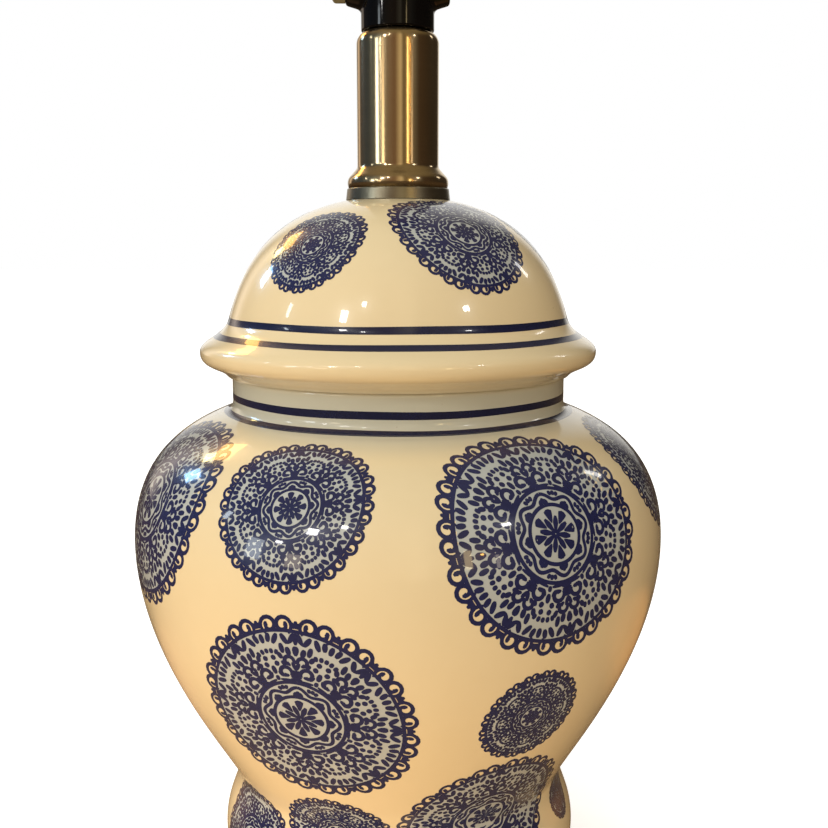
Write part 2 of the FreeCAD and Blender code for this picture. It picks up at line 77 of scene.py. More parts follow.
def add_node(tree, kind, sockets=(), **properties):
    """A node of one kind, with its own properties, such as the blend type, and its sockets set."""
    node = tree.nodes.new("ShaderNode" + kind)
    for name, value in properties.items():
        setattr(node, name, value)
    connect(tree, node, sockets)
    return node


# the sockets of a colour mix, several of which share a name
mix_factor, mix_first, mix_second, mix_result = 0, 6, 7, 2


def mix_colours(tree, factor, first, second):
    """The colour between two others. Each of the three is a socket or a plain value."""
    sockets = {mix_factor: factor, mix_first: first, mix_second: second}
    return add_node(tree, "Mix", sockets, data_type="RGBA").outputs[mix_result]


def calculate(tree, operation, first, second):
    """The result of a sum with two values."""
    return add_node(tree, "Math", {0: first, 1: second}, operation=operation).outputs[0]


def spread(tree, value, low, high):
    """A value from 0 to 1 moved into another span."""
    return add_node(tree, "MapRange", {"Value": value, "To Min": low, "To Max": high}).outputs["Result"]


def noise(tree, place, size_mm, detail=3.0, stretch=(1.0, 1.0, 1.0)):
    """Cloudy noise whose blotches are about size_mm across, from 0 to 1."""
    stretched = add_node(tree, "Mapping", {"Vector": place, "Scale": stretch}).outputs["Vector"]
    sockets = {"Vector": stretched, "Scale": 1000.0 / size_mm, "Detail": detail}
    return add_node(tree, "TexNoise", sockets).outputs["Fac"]


def object_place(tree):
    """Where a point of the surface is on its piece, in metres."""
    return add_node(tree, "TexCoord").outputs["Object"]


def bump(tree, height, depth_mm):
    """A normal from a height map of the given depth."""
    sockets = {"Height": height, "Distance": depth_mm / 1000.0, "Strength": 1.0}
    return add_node(tree, "Bump", sockets).outputs["Normal"]


def feed(tree, shader, colour, roughness, normal):
    """Gives a shader the three things that change over the surface."""
    connect(tree, shader, {"Base Color": colour, "Roughness": roughness, "Normal": normal})


def plain_material(name, deep, pale, roughness, blotches, grain, depth_mm, **values):
    """A material other than metal, whose tone and roughness drift in blotches over a finer grain. Both of
    these are given as a size in millimetres and a detail."""
    material, tree, shader = new_material(name, **values)
    place = object_place(tree)
    drift = noise(tree, place, *blotches)
    feed(tree, shader, mix_colours(tree, drift, deep, pale), spread(tree, drift, *roughness),
         bump(tree, noise(tree, place, *grain), depth_mm))
    return material


def dress(node_name, material):
    """Gives a piece that comes straight from the CAD its material."""
    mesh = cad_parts[node_name].data
    mesh.materials.clear()
    mesh.materials.append(material)


felt_green = (0.020, 0.042, 0.028, 1)
felt_pale = (0.062, 0.092, 0.066, 1)
felt_dullness = (0.95, 0.95)
felt_fibres = (0.9, 6.0)
felt_nap = 0.5
felt = plain_material("pressed_felt", felt_green, felt_pale, felt_dullness, felt_fibres, felt_fibres,
                      felt_nap, Sheen_Weight=0.5, Sheen_Roughness=0.6)
dress("felt_pad", felt)

# --------------------
# Jar: slip-cast white stoneware, sponged smooth on the outside and dipped in a warm ivory glaze, which is
# glossy and a little thicker and yellower where it pooled. Its foot is hollow and its mouth takes the lid.

# A point that the outline passes through: the heading is in degrees from straight out, and the fullness is
# how far the curve keeps it before and after the point, as a share of the way to the next point.
Station = namedtuple("Station", "radius height heading before after")


class Outline:
    """The outside of a turned piece, in millimetres, measured along its length from the bottom up."""

    def __init__(self, stations, steps=240):
        pieces = [self.curve(start, end, steps) for start, end in zip(stations, stations[1:])]
        points = np.concatenate([pieces[0][:1]] + [piece[1:] for piece in pieces])
        self.stations = stations
        self.radius, self.height = points.T
        self.length = np.concatenate([[0.0], np.cumsum(np.hypot(*np.diff(points, axis=0).T))])
        run = np.gradient(points, self.length, axis=0)
        run /= np.linalg.norm(run, axis=1)[:, None]
        self.out, self.up = run[:, 1], -run[:, 0]

    @staticmethod
    def curve(start, end, steps):
        """Points along the Bezier curve between two stations."""
        first = np.array([start.radius, start.height])
        last = np.array([end.radius, end.height])
        span = np.linalg.norm(last - first)
        leave, arrive = math.radians(start.heading), math.radians(end.heading)
        second = first + span * start.after * np.array([math.cos(leave), math.sin(leave)])
        third = last - span * end.before * np.array([math.cos(arrive), math.sin(arrive)])
        t = np.linspace(0.0, 1.0, steps)[:, None]
        return ((1 - t) ** 3 * first + 3 * (1 - t) ** 2 * t * second
                + 3 * (1 - t) * t * t * third + t ** 3 * last)

    def inset(self, distance):
        """The outline of the wall's inside."""
        moved = []
        for station in self.stations:
            angle = math.radians(station.heading)
            moved.append(station._replace(radius=station.radius - distance * math.sin(angle),
                                          height=station.height + distance * math.cos(angle)))
        return Outline(moved)

    def points(self, spacing, lowest=-math.inf, highest=math.inf, bend=5.0):
        """Pairs of radius and height along the part between two heights, no farther apart than a spacing in
        millimetres, and closer where the outline bends by more than some degrees between them."""
        inside = (self.height >= lowest) & (self.height <= highest)
        length = self.length[inside]
        heading = np.degrees(np.unwrap(np.arctan2(self.out[inside], -self.up[inside])))
        effort = (length - length[0]) / spacing
        effort[1:] += np.cumsum(np.abs(np.diff(heading))) / bend
        stops = np.interp(np.linspace(0, effort[-1], max(2, math.ceil(effort[-1]) + 1)), effort, length)
        radius, height = (np.interp(stops, self.length, values) for values in (self.radius, self.height))
        return list(zip(radius, height))

    def length_at(self, height):
        """How far along the outline a height is."""
        return float(np.interp(height, self.height, self.length))

    def wrap(self, across, along, facing, middle, lift):
        """Lays flat print on the outside. across and along are millimetres from the print's middle, which
        is at a length along the outline and facing so many degrees from the front. Returns the places in
        metres, and the normals."""
        length = middle + along
        radius, height, out, up = (np.interp(length, self.length, values)
                                   for values in (self.radius, self.height, self.out, self.up))
        turn = math.radians(facing) + across / radius
        level = np.stack([np.sin(turn), -np.cos(turn)], axis=1)
        normals = np.column_stack([level * out[:, None], up])
        places = np.column_stack([level * radius[:, None], height]) + normals * lift
        return places / 1000.0, normals


def arc(radius, height, rounding, start, end, steps=6):
    """Pairs of radius and height round a small rounding, between two angles in degrees."""
    turns = [math.radians(start + (end - start) * step / steps) for step in range(steps + 1)]
    return [(radius + rounding * math.cos(turn), height + rounding * math.sin(turn)) for turn in turns]


def make_object(name, places, faces, materials, face_materials=None):
    """An object from places in metres and faces, with smooth shading."""
    mesh = bpy.data.meshes.new(name)
    mesh.from_pydata([tuple(place) for place in places], [], faces)
    for material in materials:
        mesh.materials.append(material)
    if face_materials is not None:
        mesh.polygons.foreach_set("material_index", face_materials)
    mesh.shade_smooth()
    mesh.update()
    made = bpy.data.objects.new(name, mesh)
    bpy.context.scene.collection.objects.link(made)
    return made


def band_faces(rows, sides, closed=False):
    """Faces between rows of corners that each go all the way round. When closed, the last row meets the
    first."""
    faces = []
    for row in range(rows if closed else rows - 1):
        lower, upper = row * sides, (row + 1) % rows * sides
        for side in range(sides):
            after = (side + 1) % sides
            faces.append((lower + side, lower + after, upper + after, upper + side))
    return faces


def turned(name, section, material, sides=256, sharp_degrees=30.0):
    """A piece swept about Z from a closed section of radius and height pairs in millimetres."""
    turns = [2 * math.pi * side / sides for side in range(sides)]
    places = [(radius * math.sin(turn) / 1000, -radius * math.cos(turn) / 1000, height / 1000)
              for radius, height in section for turn in turns]
    made = make_object(name, places, band_faces(len(section), sides, closed=True), [material])
    made.data.set_sharp_from_angle(angle=math.radians(sharp_degrees))
    return made


def smooth_mask(tree, value, start, end):
    """A mask that goes smoothly from 0, where the value is at the start, to 1, where it's at the end."""
    sockets = {"Value": value, "From Min": start, "From Max": end}
    return add_node(tree, "MapRange", sockets, interpolation_type="SMOOTHSTEP").outputs["Result"]


def height_mask(tree, place, start, end):
    """Such a mask between two heights in metres."""
    return smooth_mask(tree, add_node(tree, "SeparateXYZ", {"Vector": place}).outputs["Z"], start, end)


def new_group(name, given, made):
    """An empty node group. Sockets whose names end in Colour are colours, and the others values."""
    group = bpy.data.node_groups.new(name, "ShaderNodeTree")
    for sockets, way in ((given, "INPUT"), (made, "OUTPUT")):
        for socket in sockets:
            kind = "NodeSocketColor" if socket.endswith("Colour") else "NodeSocketFloat"
            group.interface.new_socket(socket, in_out=way, socket_type=kind)
    return group, group.nodes.new("NodeGroupInput"), group.nodes.new("NodeGroupOutput")


# painted shade: the glaze is painted greyer and darker round the jar's neck and under the lid's rim, where
# the rim shades them, between these heights in metres
neck_shade_below = (0.190, 0.201)
neck_shade_above = (0.2155, 0.2085)
glaze_drift = (60.0, 2.0)
glaze_mottle = (7.0, 4.0)
mottle_share = 0.3
specks_per_metre = 90.0
speck_core = 0.018
speck_edge = 0.035
speck_depth = 0.5
glaze_roughness = (0.16, 0.30)
ripple_size = (9.0, 1.0)


def glaze_group():
    """Fired glaze: slow drifts of tone, finer mottling, some iron specks and the ripple of a dipped coat."""
    group, given, result = new_group("fired_glaze", ("Thin Colour", "Pooled Colour", "Neck Shade Colour",
                                                     "Speck Colour"), ("Colour", "Roughness", "Height"))
    thin, pooled, neck_shade_tone, speck = given.outputs[:4]
    place = object_place(group)
    mottle = noise(group, place, *glaze_mottle)
    tone = mix_colours(group, mottle_share, noise(group, place, *glaze_drift), mottle)
    # painted shade round the neck and under the lid's rim, greyer and darker than the glaze
    neck_shade_mask = calculate(group, "MULTIPLY", height_mask(group, place, *neck_shade_below),
                             height_mask(group, place, *neck_shade_above))
    colour = mix_colours(group, neck_shade_mask, mix_colours(group, tone, thin, pooled), neck_shade_tone)
    specks = add_node(group, "TexVoronoi", {"Vector": place, "Scale": specks_per_metre, "Randomness": 1.0})
    speck_mask = add_node(group, "MapRange", {"Value": specks.outputs["Distance"], "From Min": speck_core,
                                              "From Max": speck_edge, "To Min": speck_depth, "To Max": 0.0})
    connect(group, result, {"Colour": mix_colours(group, speck_mask.outputs["Result"], colour, speck),
                            "Roughness": spread(group, mottle, *glaze_roughness),
                            "Height": noise(group, place, *ripple_size)})
    return group


fired_glaze = glaze_group()
clear_gloss = {"Coat_Weight": 0.85, "Coat_Roughness": 0.035, "Coat_IOR": 1.5, "Specular_IOR_Level": 0.35}
ripple_depth = 0.03
# the colour of the painted shade round the neck and under the lid's rim
neck_shade_glaze = (0.545, 0.530, 0.425, 1)
iron_speck = (0.30, 0.21, 0.12, 1)


def glaze_material(name, thin, pooled):
    """A glossy coat over a fired glaze body of two tones."""
    material, tree, shader = new_material(name, **clear_gloss)
    tones = {"Thin Colour": thin, "Pooled Colour": pooled, "Neck Shade Colour": neck_shade_glaze,
             "Speck Colour": iron_speck}
    body = add_node(tree, "Group", tones, node_tree=fired_glaze)
    feed(tree, shader, body.outputs["Colour"], body.outputs["Roughness"],
         bump(tree, body.outputs["Height"], ripple_depth))
    return material


jar_glaze = glaze_material("ivory_glaze_jar", (0.800, 0.655, 0.410, 1), (0.750, 0.595, 0.340, 1))

jar_low, jar_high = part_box("jar_body")
jar_foot = jar_low.z * 1000
jar_mouth = jar_high.z * 1000
jar_wall = 6.5
print_room = 0.1              # how far the glazed surface is inside the solid, which leaves room for print
foot_heading = 80.0
foot_rounding = 1.6
mouth_rounding = 1.3
bottom_underside = jar_foot + 28.0
bottom_inside = jar_foot + 35.0
rod_hole = 5.5
neck_foot = jar_mouth - 10.1
neck_radius = 66.05 - print_room
jar_outline = Outline([
    Station(68.7 - print_room, jar_foot, foot_heading, 0.0, 0.27),
    Station(73.1 - print_room, jar_foot + 21.7, 90.0, 0.36, 0.44),
    Station(67.6 - print_room, jar_foot + 46.5, 90.0, 0.36, 0.08),
    Station(jar_high.x * 1000 - print_room, jar_foot + 145.2, 90.0, 0.443, 0.508),
    Station(69.25 - print_room, neck_foot - 4.2, 160.1, 0.317, 0.38),
    Station(neck_radius, neck_foot, 90.0, 0.42, 0.33),
    Station(neck_radius, jar_mouth, 90.0, 0.33, 0.0),
])
jar_inside = jar_outline.inset(jar_wall)
foot_centre = jar_outline.radius[0] - foot_rounding * math.tan(math.radians(foot_heading) / 2)
neck_outer = jar_outline.radius[-1] - mouth_rounding
neck_inner = jar_inside.radius[-1] + mouth_rounding
jar_step = 1.6
hidden_step = 5.0
jar_section = (
    arc(foot_centre, jar_foot + foot_rounding, foot_rounding, -90, -10)
    + jar_outline.points(jar_step, jar_foot + foot_rounding + 0.4, jar_mouth - mouth_rounding - 0.1)
    + arc(neck_outer, jar_mouth - mouth_rounding, mouth_rounding, 0, 90)
    + arc(neck_inner, jar_mouth - mouth_rounding, mouth_rounding, 90, 180)
    + jar_inside.points(hidden_step, bottom_inside + 0.5, jar_mouth - mouth_rounding - 0.1)[::-1]
    + [(jar_inside.radius[0] + 1.0, bottom_inside), (rod_hole, bottom_inside), (rod_hole, bottom_underside)]
    + jar_inside.points(hidden_step, jar_foot + 0.2, bottom_underside)[::-1]
)
jar = turned("jar_glazed", jar_section, jar_glaze)

inlet_low, inlet_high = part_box("cord_grommet")
inlet_height = (inlet_low.z + inlet_high.z) / 2
inlet_cut = 0.0066            # the hole's edge, which the grommet's two flanges cover
inlet_side = 0.05             # everything farther back than this is the back of the jar
jar_mesh = bmesh.new()
jar_mesh.from_mesh(jar.data)
middles = [(face, face.calc_center_median()) for face in jar_mesh.faces]
inlet_faces = [face for face, middle in middles
               if middle.y > inlet_side and math.hypot(middle.x, middle.z - inlet_height) < inlet_cut]
bmesh.ops.delete(jar_mesh, geom=inlet_faces, context="FACES")
jar_mesh.to_mesh(jar.data)
jar_mesh.free()
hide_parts("jar_body")
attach(jar, "lamp")

# --------------------
# Blue lines: cobalt bands laid by a brush while the jar turned, so their depth varies a little round it.
# Two go round the lid and two round the jar's neck.

cobalt_deep = (0.0040, 0.0050, 0.026, 1)
cobalt_thin = (0.011, 0.015, 0.058, 1)
line_lift = 0.03
line_sides = 360
line_wander = 0.04            # share of a line's width by which the brush strayed
line_swell = 0.06             # share by which it pressed harder in places
ink_grain = (1.1, 3.0)
grain_span = (0.2, 1.1)
ink_flow = (14.0, 2.0)
flow_span = (0.3, 1.3)


def ink_group():
    """Printed or brushed cobalt, which is deep where it is thick and lighter in fine patches."""
    group, given, result = new_group("cobalt_ink", ("Deep Colour", "Thin Colour"), ("Colour", "Height"))
    deep, thin = given.outputs[:2]
    place = object_place(group)
    grain = spread(group, noise(group, place, *ink_grain), *grain_span)
    flow = spread(group, noise(group, place, *ink_flow), *flow_span)
    colour = mix_colours(group, calculate(group, "MULTIPLY", grain, flow), deep, thin)
    connect(group, result, {"Colour": colour, "Height": noise(group, place, *ripple_size)})
    return group


cobalt_ink = ink_group()


def ink_material(name, deep, thin):
    """Cobalt under the same clear gloss as the glaze."""
    material, tree, shader = new_material(name, Roughness=0.25, **clear_gloss)
    ink = add_node(tree, "Group", {"Deep Colour": deep, "Thin Colour": thin}, node_tree=cobalt_ink)
    connect(tree, shader, {"Base Color": ink.outputs["Colour"],
                           "Normal": bump(tree, ink.outputs["Height"], ripple_depth)})
    return material


band_ink = ink_material("cobalt_band", cobalt_deep, cobalt_thin)


def keep_normals(made, normals):
    """Shades the print with the normals of the surface that it lies on."""
    made.data.normals_split_custom_set_from_vertices([tuple(normal) for normal in normals])


def blue_line(name, outline, height, width):
    """A band round a turned piece, which follows its outline."""
    middle = outline.length_at(height)
    edges = np.array([-0.5, -0.25, 0.0, 0.25, 0.5]) * width
    turns = np.arange(line_sides) * 360.0 / line_sides
    wander = line_wander * width * np.sin(np.radians(turns * 7) + height)
    places, normals = [], []
    for edge in edges:
        swell = edge * (1 + line_swell * np.sin(np.radians(turns * 3) + height))
        for turn, along in zip(turns, swell + wander):
            place, normal = outline.wrap(np.zeros(1), np.array([along]), turn, middle, line_lift)
            places.append(place[0])
            normals.append(normal[0])
    band = make_object(name, places, band_faces(len(edges), line_sides), [band_ink])
    keep_normals(band, normals)
    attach(band, "lamp")


blue_line("neck_line_upper", jar_outline, 203.7, 2.7)
blue_line("neck_line_lower", jar_outline, 197.75, 3.0)

# --------------------
# Round medallions: a transfer print of lace-like scrolls and leaves, laid on in discs of several sizes
# before the last firing. Each follows the shoulder or the waist that it lies on.

leaf_steps = 7
scroll_steps = 20
ring_steps = 160


def polar(degrees, radius):
    """A point of the ornament, whose edge is at radius 1."""
    angle = math.radians(degrees)
    return np.array([math.cos(angle), math.sin(angle)]) * radius


def leaf(degrees, radius, lean, length, width, drop=0.0):
    """A grain-shaped leaf, which leans from its spoke. With a drop, its outer end is fuller."""
    steps = np.linspace(-1.0, 1.0, leaf_steps)
    spine = polar(degrees, radius) + np.outer(steps * length / 2, polar(degrees + lean, 1.0))
    return spine, width / 2 * np.maximum(1 - steps ** 2, 0.08) ** 0.5 * (1 + drop * steps)


def petal(degrees, inner, outer, width, blunt):
    """A wedge-shaped petal along a spoke, pointed at its inner end."""
    steps = np.linspace(0.0, 1.0, leaf_steps + 1)
    spine = np.outer(inner + (outer - inner) * steps, polar(degrees, 1.0))
    return spine, width / 2 * steps ** 0.8 * np.minimum(1.0, (1.0 - steps) / blunt + 0.2)


def scroll(degrees, radius, size, width, hand, start, end, curl):
    """A curl round a polar place, ending in a round blob; hand is 1 or -1 for the two of a pair."""
    outward = polar(degrees, 1.0)
    sideways = np.array([-outward[1], outward[0]]) * hand
    steps = np.linspace(0.0, 1.0, scroll_steps)
    turns = np.radians(start + (end - start) * steps)
    reach = size * (1.0 - (1.0 - curl) * steps ** 1.5)
    spine = (polar(degrees, radius) + np.outer(reach * np.cos(turns), sideways)
             + np.outer(reach * np.sin(turns), outward))
    fullness = width / 2 * (0.75 + 0.25 * np.sin(np.pi * steps))
    fullness[-3:] = width * np.array([0.62, 0.68, 0.35])
    return spine, fullness


def ring(radius, width, waves=0, depth=0.0):
    """A closed line round the middle, plain or in waves."""
    turns = np.linspace(0.0, 2 * math.pi, ring_steps + 1)
    reach = radius + depth * np.cos(turns * waves)
    return np.stack([np.cos(turns) * reach, np.sin(turns) * reach], axis=1), np.full(len(turns), width / 2)


def border():
    """Sixteen pairs of curls that spring from the ring line, with small three-leaf fans between them."""
    strokes = [ring(0.880, 0.028)]
    for pair in range(16):
        fan = pair * 22.5
        spoke = fan - 11.25
        for hand in (-1, 1):
            strokes.append(scroll(spoke + hand * 4.1, 0.928, 0.080, 0.034, hand, -60, 420, 0.20))
            strokes.append(leaf(fan + hand * 1.5, 0.930, hand * 34, 0.058, 0.037))
        strokes.append(leaf(fan, 0.938, 0, 0.070, 0.036))
    return strokes


# the leaves that stand in pairs beside a spoke, and beside the line between two spokes: degrees aside,
# radius, lean, length and width
spoke_leaves = [
    (2.7, 0.818, -26, 0.100, 0.040), (3.6, 0.788, -54, 0.078, 0.032), (7.5, 0.806, 30, 0.102, 0.048),
    (5.6, 0.694, 12, 0.080, 0.050), (10.1, 0.720, 6, 0.092, 0.046), (12.6, 0.652, 24, 0.064, 0.044),
    (10.9, 0.580, 36, 0.054, 0.036),
]
between_leaves = [
    (8.8, 0.806, 32, 0.106, 0.048), (4.4, 0.818, 16, 0.084, 0.048), (3.8, 0.696, 10, 0.048, 0.036),
    (7.6, 0.684, 20, 0.050, 0.036), (3.7, 0.636, -30, 0.048, 0.046), (5.2, 0.578, 30, 0.050, 0.046),
    (6.2, 0.480, -30, 0.066, 0.038),
]


def leaf_field(spoke):
    """One eighth of the leafy band between the ring line and the inner circle."""
    between = spoke + 22.5
    strokes = [
        leaf(spoke, 0.814, 0, 0.112, 0.043),
        leaf(spoke, 0.702, 0, 0.092, 0.060, 0.3),
        leaf(between, 0.522, 0, 0.080, 0.046),
        leaf(between, 0.444, 0, 0.050, 0.036),
        leaf(between, 0.812, 0, 0.084, 0.048),
        leaf(between, 0.700, 0, 0.046, 0.036),
    ]
    for hand in (-1, 1):
        for line, leaves in ((spoke, spoke_leaves), (between, between_leaves)):
            strokes += [leaf(line + hand * aside, radius, hand * lean, length, width)
                        for aside, radius, lean, length, width in leaves]
    return strokes


def knot_and_scrolls(spoke):
    """The knot that sits on the inner circle, with two pairs of curls growing from it."""
    strokes = [leaf(spoke, 0.424, 90, 0.10, 0.028)]
    for lean in (-62, -30, 0, 30, 62):
        strokes.append(leaf(spoke, 0.470, lean, 0.106, 0.031))
    for hand in (-1, 1):
        strokes += [
            scroll(spoke + hand * 11.4, 0.492, 0.061, 0.036, hand, 215, -140, 0.30),
            leaf(spoke + hand * 10.5, 0.415, hand * 84, 0.140, 0.026),
            scroll(spoke + hand * 6.1, 0.602, 0.050, 0.034, hand, 205, -115, 0.42),
            leaf(spoke + hand * 1.6, 0.558, hand * 22, 0.080, 0.034),
        ]
    return strokes


def rosette():
    """The middle: two circles with a wavy line between them, sprigs, and a flower of eight petals."""
    strokes = [ring(0.393, 0.028), ring(0.243, 0.028), ring(0.318, 0.028, waves=8, depth=0.027)]
    for sector in range(8):
        spoke, between = sector * 45.0, sector * 45.0 + 22.5
        strokes.append(petal(between, 0.004, 0.150, 0.078, 0.5))
        strokes.append(petal(spoke, 0.092, 0.208, 0.104, 0.2))
        for place in (-1, 0, 1):
            strokes.append(leaf(spoke + place * 5.2, 0.284 - 0.010 * abs(place), -place * 40, 0.050, 0.034))
            strokes.append(leaf(between + place * 5.4, 0.349 - 0.004 * abs(place), place * 26, 0.044,
                                0.032))
    return strokes


def stroke_mesh(strokes):
    """All strokes as one flat sheet in the unit disc: each corner's point on the spine, its way out and half
    width, and the faces between the corners."""
    spines, ways, faces = [], [], []
    start = 0
    for spine, half_width in strokes:
        run = np.gradient(spine, axis=0)
        run /= np.linalg.norm(run, axis=1)[:, None]
        way = np.stack([-run[:, 1], run[:, 0]], axis=1)
        spines += [spine, spine]
        ways += [np.column_stack([way, half_width]), np.column_stack([-way, half_width])]
        count = len(spine)
        faces += [(start + step, start + count + step, start + count + step + 1, start + step + 1)
                  for step in range(count - 1)]
        start += 2 * count
    ways = np.concatenate(ways)
    return np.concatenate(spines), ways[:, :2], ways[:, 2:], faces


film_rings = 14
film_spokes = 64
film_edge = 0.885


def film_mesh():
    """A flat disc that ends just inside the curls, where the transfer's film greys the glaze."""
    corners = [np.zeros(2)]
    for row in range(1, film_rings + 1):
        reach = film_edge * row / film_rings
        corners += [polar(step * 360 / film_spokes, reach) for step in range(film_spokes)]
    faces = [(0, 1 + step, 1 + (step + 1) % film_spokes) for step in range(film_spokes)]
    faces += [(near + 1, far + 1, far_after + 1, near_after + 1)
              for near, near_after, far_after, far in band_faces(film_rings, film_spokes)]
    return np.array(corners), faces


lace_strokes = border() + rosette()
for eighth in range(8):
    lace_strokes += leaf_field(eighth * 45.0) + knot_and_scrolls(eighth * 45.0)
lace_spines, lace_ways, lace_widths, lace_faces = stroke_mesh(lace_strokes)
film_corners, film_faces = film_mesh()
film_lift = 0.03
lace_lift = 0.055
ink_spread = 0.20             # millimetres that the ink runs out on each side, whatever the disc's size
stroke_share = 0.84           # of its drawn width that a stroke has before the ink runs out

lace_ink = ink_material("cobalt_transfer", (0.0075, 0.0092, 0.044, 1), (0.019, 0.024, 0.098, 1))
film_glaze = glaze_material("transfer_film", (0.465, 0.480, 0.455, 1), (0.415, 0.430, 0.400, 1))


def medallion(name, outline, facing, middle, radius, turn):
    """One printed disc, so many degrees from the front and millimetres along the outline."""
    swing = math.radians(turn)
    rotation = np.array([[math.cos(swing), math.sin(swing)], [-math.sin(swing), math.cos(swing)]])
    places, normals, faces, kinds = [], [], [], []
    lace_corners = lace_spines + lace_ways * (lace_widths * stroke_share + ink_spread / radius)
    layers = ((film_corners, film_faces, film_lift), (lace_corners, lace_faces, lace_lift))
    for kind, (corners, sheet, lift) in enumerate(layers):
        across, along = (corners @ rotation * radius).T
        place, normal = outline.wrap(across, along, facing, middle, lift)
        start = sum(len(part) for part in places)
        faces += [tuple(corner + start for corner in face) for face in sheet]
        kinds += [kind] * len(sheet)
        places.append(place)
        normals.append(normal)
    printed = make_object(name, np.concatenate(places), faces, [film_glaze, lace_ink], kinds)
    keep_normals(printed, np.concatenate(normals))
    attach(printed, "lamp")


# facing, place along the outline, radius, turn of the ornament
jar_medallions = [
    (-62.8, 178.5, 38.6, 80.0),
    (-20.4, 186.9, 27.5, 101.0),
    (31.1, 176.1, 40.7, 98.3),
    (76.2, 189.5, 26.8, 60.0),
    (-18.9, 112.3, 39.5, 86.0),
    (29.0, 109.2, 19.4, 70.0),
    (27.7, 54.0, 33.5, 95.0),
    (-18.6, 46.5, 21.5, 75.0),
    (-54.0, 31.5, 22.5, 100.0),
    (70.0, 41.0, 9.5, 90.0),
    (104.0, 140.0, 30.0, 110.0),
    (138.0, 186.0, 33.0, 93.0),
    (-171.0, 178.0, 36.0, 70.0),
    (-122.0, 184.0, 32.0, 65.0),
    (-146.0, 118.0, 34.0, 99.0),
    (-94.0, 114.0, 25.0, 84.0),
    (168.0, 104.0, 27.0, 108.0),
    (124.0, 84.0, 28.0, 102.0),
    (-112.0, 58.0, 24.0, 76.0),
    (-160.0, 52.0, 26.0, 92.0),
    (150.0, 40.0, 24.0, 70.0),
    (110.0, 30.0, 18.0, 88.0),
    (-96.0, 20.0, 12.0, 104.0),
]
for number, (facing, middle, radius, turn) in enumerate(jar_medallions, start=1):
    medallion(f"jar_medallion_{number}", jar_outline, facing, middle, radius, turn)

# --------------------
# Cord grommet: a soft black rubber ring snapped into the hole at the back of the foot, where the flex goes
# in. Its skin is dull, with a faint bloom. The base cushion and the lid washer are of the same rubber.

rubber_black = (0.012, 0.012, 0.012, 1)
rubber_bloom = (0.034, 0.033, 0.031, 1)
rubber = plain_material("black_rubber", rubber_black, rubber_bloom, (0.55, 0.8), (3.0, 4.0), (0.5, 3.0),
                        0.03, Specular_IOR_Level=0.35)
for name in ("cord_grommet", "base_cushion", "lid_washer"):
    dress(name, rubber)

# --------------------
# Rod and its fixings: an M10 threaded steel tube through the whole lamp, drawn tight by a hexagon nut on a
# toothed and a plain washer in the foot. All of it is steel with a dull zinc coat.

grain_share = 0.45


def metal_material(name, deep, pale, roughness, blotch_mm, grain_stretch, grain_mm, grain_depth_mm):
    """A metal with drifting tone and fine lines left by its tools."""
    material, tree, shader = new_material(name, Metallic=1.0)
    place = object_place(tree)
    blotches = noise(tree, place, blotch_mm, detail=4.0)
    grain = noise(tree, place, grain_mm, stretch=grain_stretch)
    tone = mix_colours(tree, grain_share, blotches, grain)
    feed(tree, shader, mix_colours(tree, tone, deep, pale), spread(tree, grain, *roughness),
         bump(tree, grain, grain_depth_mm))
    return material


zinc = metal_material("zinc_plated_steel", (0.46, 0.47, 0.48, 1), (0.66, 0.66, 0.65, 1), (0.28, 0.44), 5.0,
                      (1.0, 1.0, 1.0), 0.6, 0.01)
for name in ("base_washer", "base_lock_washer", "base_nut", "cap_grub_screw", "terminal_screws",
             "neck_seating_ring"):
    dress(name, zinc)

thread_pitch = 1.5
thread_depth = 0.6
# painted shade: the thread is only a bump, and its valleys are painted darker than its crests
thread_valley_shade = (0.30, 0.30, 0.30, 1)
thread_crest = (0.62, 0.62, 0.60, 1)
rod_steel, rod_tree, rod_shader = new_material("threaded_rod", Metallic=1.0, Roughness=0.34)
wave_scale = 2 * math.pi / 20 / (thread_pitch / 1000)        # at a scale of 1, a wave is 2 pi / 20 long
rod_thread = add_node(rod_tree, "TexWave", {"Vector": object_place(rod_tree), "Scale": wave_scale},
                      bands_direction="Z", wave_profile="TRI").outputs["Fac"]
connect(rod_tree, rod_shader, {"Base Color": mix_colours(rod_tree, rod_thread, thread_valley_shade, thread_crest),
                               "Normal": bump(rod_tree, rod_thread, thread_depth)})
dress("centre_rod", rod_steel)

# --------------------
# Lid: cast and glazed like the jar, with a rolled rim that overhangs the neck, a flange inside that centres
# it, and a flat crown with a hole for the rod. It carries two blue lines and its own medallions.

lid_glaze = glaze_material("ivory_glaze_lid", (0.790, 0.650, 0.410, 1), (0.735, 0.590, 0.340, 1))

lid_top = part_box("jar_lid")[1].z * 1000
lid_wall = 6.0
lid_seat_radius = 68.0 - print_room
lid_crown_radius = 20.0
lid_flange_outer = 58.35
lid_flange_inner = 52.35
lid_flange_depth = 8.0
lid_ledge = jar_mouth + 4.0
lid_outline = Outline([
    Station(lid_seat_radius, jar_mouth, 50.0, 0.0, 0.43),
    Station(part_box("jar_lid")[1].x * 1000 - print_room, jar_mouth + 9.1, 90.0, 0.43, 0.276),
    Station(66.9 - print_room, jar_mouth + 21.8, 105.0, 0.425, 0.264),
    Station(lid_crown_radius, lid_top - print_room, 169.0, 0.51, 0.0),
])
lid_inside = Outline(lid_outline.inset(lid_wall).stations[2:])
lid_step = 1.4
lid_hidden_step = 4.0
lid_section = (
    lid_outline.points(lid_step)
    + [(rod_hole, lid_top - print_room), (rod_hole, lid_inside.height[-1])]
    + lid_inside.points(lid_hidden_step)[::-1]
    + [(lid_flange_inner, lid_ledge), (lid_flange_inner, jar_mouth - lid_flange_depth),
       (lid_flange_outer, jar_mouth - lid_flange_depth), (lid_flange_outer, jar_mouth)]
)
